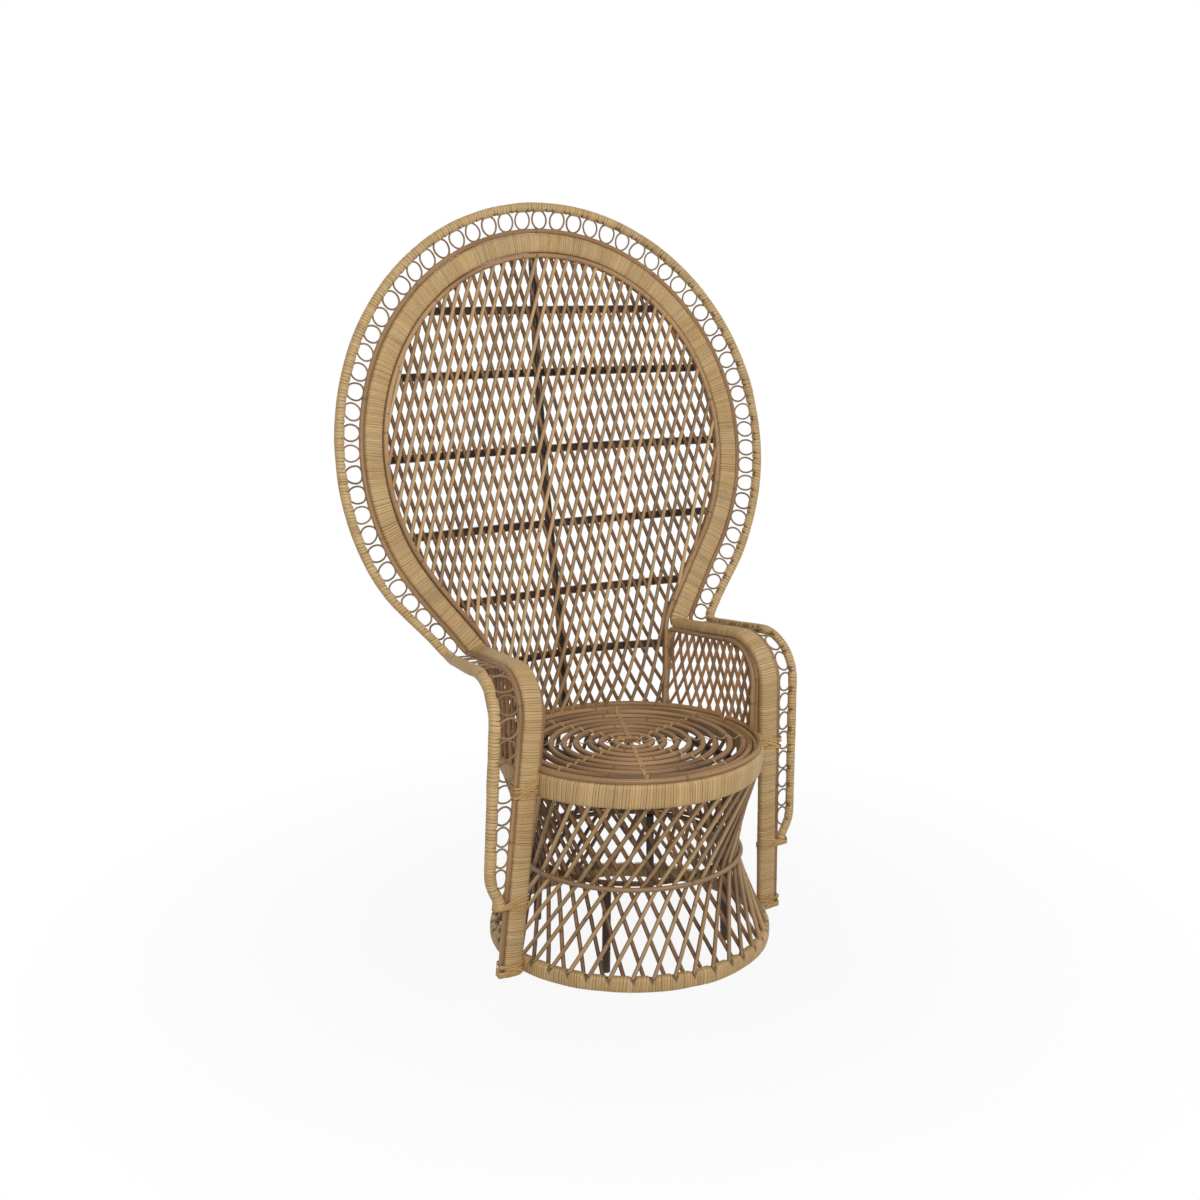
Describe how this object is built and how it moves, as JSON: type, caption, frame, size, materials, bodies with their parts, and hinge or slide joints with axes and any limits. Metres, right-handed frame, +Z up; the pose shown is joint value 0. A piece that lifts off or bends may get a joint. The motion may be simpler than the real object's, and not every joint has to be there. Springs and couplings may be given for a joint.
{
  "type": "peacock chair",
  "caption": "Rattan chair with a round lattice back edged by cane loops, wrapped arms that run down as front legs, and a coiled seat on a waisted drum of crossed canes.",
  "frame": {"origin": "on the floor under the middle of the chair's bounding box", "axes": "+Z up, the chair faces -Y, +X to a viewer's right from the front"},
  "size_m": [1.0238, 0.6958, 1.5],
  "materials": {
    "wrapped_peel": "satin rattan peel, wrapped",
    "rattan_cane": "satin natural cane",
    "brown_rod": "satin brown rattan rod",
    "dark_rod": "dark stained rattan pole"
  },
  "bodies": {
    "root": {"back_band": "wrapped_peel", "back_cross_rod_1": "dark_rod", "back_cross_rod_2": "dark_rod", "back_cross_rod_3": "dark_rod", "back_cross_rod_4": "dark_rod", "back_cross_rod_5": "dark_rod", "back_cross_rod_6": "dark_rod", "back_edge_rod": "brown_rod", "back_hoop": "wrapped_peel", "back_lattice_front": "rattan_cane", "back_lattice_rear": "rattan_cane", "back_pole": "dark_rod", "base_ring": "wrapped_peel", "left_arm_band": "wrapped_peel", "left_arm_edge_rod": "brown_rod", "left_arm_hoop": "wrapped_peel", "left_foot_strap": "wrapped_peel", "left_front_post": "dark_rod", "left_hoop_strap": "wrapped_peel", "left_panel_inner": "rattan_cane", "left_panel_outer": "rattan_cane", "left_rear_post": "dark_rod", "left_rim_strap": "wrapped_peel", "left_seat_bearer": "dark_rod", "right_arm_band": "wrapped_peel", "right_arm_edge_rod": "brown_rod", "right_arm_hoop": "wrapped_peel", "right_foot_strap": "wrapped_peel", "right_front_post": "dark_rod", "right_hoop_strap": "wrapped_peel", "right_panel_inner": "rattan_cane", "right_panel_outer": "rattan_cane", "right_rear_post": "dark_rod", "right_rim_strap": "wrapped_peel", "right_seat_bearer": "dark_rod", "seat_binding_1": "wrapped_peel", "seat_binding_2": "wrapped_peel", "seat_binding_3": "wrapped_peel", "seat_binding_4": "wrapped_peel", "seat_binding_5": "wrapped_peel", "seat_binding_6": "wrapped_peel", "seat_binding_7": "wrapped_peel", "seat_binding_8": "wrapped_peel", "seat_coil": "rattan_cane", "seat_rim": "wrapped_peel", "waist_hoop": "brown_rod"}
  },
  "joints": []
}
